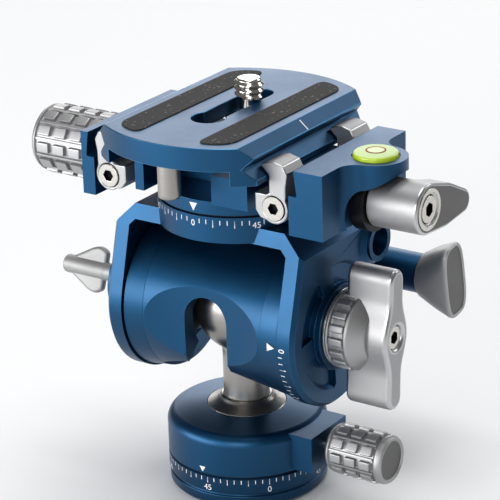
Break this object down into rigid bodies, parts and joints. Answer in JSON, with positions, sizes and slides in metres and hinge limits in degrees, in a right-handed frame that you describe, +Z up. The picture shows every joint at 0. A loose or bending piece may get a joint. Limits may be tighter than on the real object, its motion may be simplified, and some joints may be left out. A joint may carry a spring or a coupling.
{
  "type": "hybrid tripod head",
  "caption": "Blue metal camera tripod head with a panning base, a levelling ball in a tilting barrel, a yoke with a pan scale, and a lever clamp holding a dovetail plate.",
  "frame": {"origin": "middle of the base's bottom face, on the tripod socket's axis", "axes": "+Z up along the tripod socket, +X to the side with the tilt knob and clamp lever, -Y to the front with the drop slot"},
  "size_m": [0.0975, 0.067, 0.0904],
  "materials": {
    "blue_anodised": "blue anodised, fine satin",
    "satin_silver": "clear anodised, satin",
    "steel": "plain",
    "polished_steel": "polished",
    "bearing_plastic": "matt",
    "bronze": "plain",
    "level_green": "clear acrylic with green liquid",
    "grip_rubber": "matt, fine grain"
  },
  "bodies": {
    "base": {"base_foot": "blue_anodised", "base_scale_ring": "blue_anodised", "base_thrust_washer": "bearing_plastic", "base_retainer": "steel"},
    "drum": {"base_drum": "blue_anodised", "base_brake_shoe": "bronze", "stem_flange": "satin_silver", "ball_stem": "polished_steel"},
    "base_knob": {"base_lock_knob": "satin_silver", "base_lock_stud": "steel"},
    "liner": {"ball_liner": "bearing_plastic"},
    "barrel": {"barrel": "blue_anodised", "barrel_cap_left": "blue_anodised", "barrel_cap_right": "blue_anodised", "ball_cup_left": "bearing_plastic", "ball_cup_right": "bearing_plastic", "ball_lock_plunger": "bronze"},
    "ball_lock": {"ball_lock_screw": "steel", "ball_lock_paddle": "satin_silver"},
    "tilt_knob": {"tilt_lock_washer": "polished_steel", "tilt_lock_stud": "steel", "tilt_wing_knob": "satin_silver", "tilt_knob_screw": "steel"},
    "yoke": {"yoke": "blue_anodised", "tilt_bush_left": "bronze", "tilt_bush_right": "bronze", "drag_pad": "bronze", "drag_cap": "blue_anodised", "pan_bearing_ring": "bearing_plastic", "pan_friction_washer": "bearing_plastic"},
    "drag": {"drag_screw": "satin_silver"},
    "platform": {"pan_platform": "blue_anodised", "pan_retainer": "steel", "clamp_body": "blue_anodised", "clamp_bolts": "steel", "level_vial": "level_green", "cam_washer": "steel", "jaw_spring": "steel", "claw_screws_right": "steel"},
    "lever": {"clamp_lever": "satin_silver", "lever_ring": "polished_steel", "lever_screw": "steel"},
    "rod": {"clamp_rod": "steel"},
    "knob": {"clamp_knob": "satin_silver"},
    "jaw": {"left_jaw": "blue_anodised", "jaw_guide_pin": "steel", "claw_screws_left": "steel"},
    "claw_lf": {"claw_left_front": "satin_silver"},
    "claw_lr": {"claw_left_rear": "satin_silver"},
    "claw_rf": {"claw_right_front": "satin_silver"},
    "claw_rr": {"claw_right_rear": "satin_silver"},
    "plate": {"quick_release_plate": "blue_anodised", "rubber_strips": "grip_rubber", "stop_pins": "polished_steel"},
    "carriage": {"screw_washer": "steel"},
    "screw": {"camera_screw": "polished_steel"}
  },
  "joints": [
    {"name": "base_pan", "type": "hinge", "parent": "base", "child": "drum", "pos_m": [0, 0, 0.01], "axis": [0, 0, 1], "continuous": true},
    {"name": "base_lock", "type": "hinge", "parent": "drum", "child": "base_knob", "pos_m": [0.021, 0, 0.0124], "axis": [1, 0, 0], "range_deg": [0, 540]},
    {"name": "ball_pitch", "type": "hinge", "parent": "drum", "child": "liner", "pos_m": [0, 0, 0.0409], "axis": [1, 0, 0], "range_deg": [-12, 90]},
    {"name": "ball_roll", "type": "hinge", "parent": "liner", "child": "barrel", "pos_m": [0, 0, 0.0409], "axis": [0, 1, 0], "range_deg": [-10, 10]},
    {"name": "ball_lock_turn", "type": "hinge", "parent": "barrel", "child": "ball_lock", "pos_m": [0.026, 0.032, 0.0417], "axis": [1, 0, 0], "range_deg": [0, 270]},
    {"name": "tilt", "type": "hinge", "parent": "barrel", "child": "yoke", "pos_m": [0, 0, 0.0409], "axis": [-1, 0, 0], "range_deg": [-90, 32]},
    {"name": "tilt_lock_turn", "type": "hinge", "parent": "barrel", "child": "tilt_knob", "pos_m": [0.026, 0, 0.0409], "axis": [1, 0, 0], "range_deg": [0, 270]},
    {"name": "drag_turn", "type": "hinge", "parent": "yoke", "child": "drag", "pos_m": [-0.036, 0, 0.0409], "axis": [-1, 0, 0], "range_deg": [0, 540]},
    {"name": "pan", "type": "hinge", "parent": "yoke", "child": "platform", "pos_m": [0, 0, 0.067], "axis": [0, 0, 1], "continuous": true},
    {"name": "lever_turn", "type": "hinge", "parent": "platform", "child": "lever", "pos_m": [0.033, -0.0022, 0.0716], "axis": [-1, 0, 0], "range_deg": [0, 100]},
    {"name": "rod_slide", "type": "slide", "parent": "platform", "child": "rod", "axis": [-1, 0, 0], "range_m": [0, 0.0016]},
    {"name": "clamp_knob_turn", "type": "hinge", "parent": "jaw", "child": "knob", "pos_m": [-0.03, -0.0022, 0.0716], "axis": [-1, 0, 0], "range_deg": [0, 720]},
    {"name": "jaw_slide", "type": "slide", "parent": "rod", "child": "jaw", "axis": [-1, 0, 0], "range_m": [0, 0.0016]},
    {"name": "claw_lf_swing", "type": "hinge", "parent": "jaw", "child": "claw_lf", "pos_m": [-0.0206, -0.015, 0.0722], "axis": [0, -1, 0], "range_deg": [0, 8], "stiffness_Nm_per_rad": 0.05},
    {"name": "claw_lr_swing", "type": "hinge", "parent": "jaw", "child": "claw_lr", "pos_m": [-0.0206, 0.0105, 0.0722], "axis": [0, -1, 0], "range_deg": [0, 8], "stiffness_Nm_per_rad": 0.05},
    {"name": "claw_rf_swing", "type": "hinge", "parent": "platform", "child": "claw_rf", "pos_m": [0.0206, -0.015, 0.0722], "axis": [0, 1, 0], "range_deg": [0, 8], "stiffness_Nm_per_rad": 0.05},
    {"name": "claw_rr_swing", "type": "hinge", "parent": "platform", "child": "claw_rr", "pos_m": [0.0206, 0.0105, 0.0722], "axis": [0, 1, 0], "range_deg": [0, 8], "stiffness_Nm_per_rad": 0.05},
    {"name": "plate_slide", "type": "slide", "parent": "platform", "child": "plate", "axis": [0, 1, 0], "range_m": [-0.004, 0.015]},
    {"name": "screw_slide", "type": "slide", "parent": "plate", "child": "carriage", "axis": [0, 1, 0], "range_m": [-0.012, 0.003]},
    {"name": "screw_turn", "type": "hinge", "parent": "carriage", "child": "screw", "pos_m": [0, 0.0045, 0.086], "axis": [0, 0, 1], "continuous": true}
  ],
  "couplings": [
    {"joint": "rod_slide", "follows": "lever_turn", "m_per_rad": 0.000859},
    {"joint": "jaw_slide", "follows": "clamp_knob_turn", "m_per_rad": 0.000127}
  ]
}
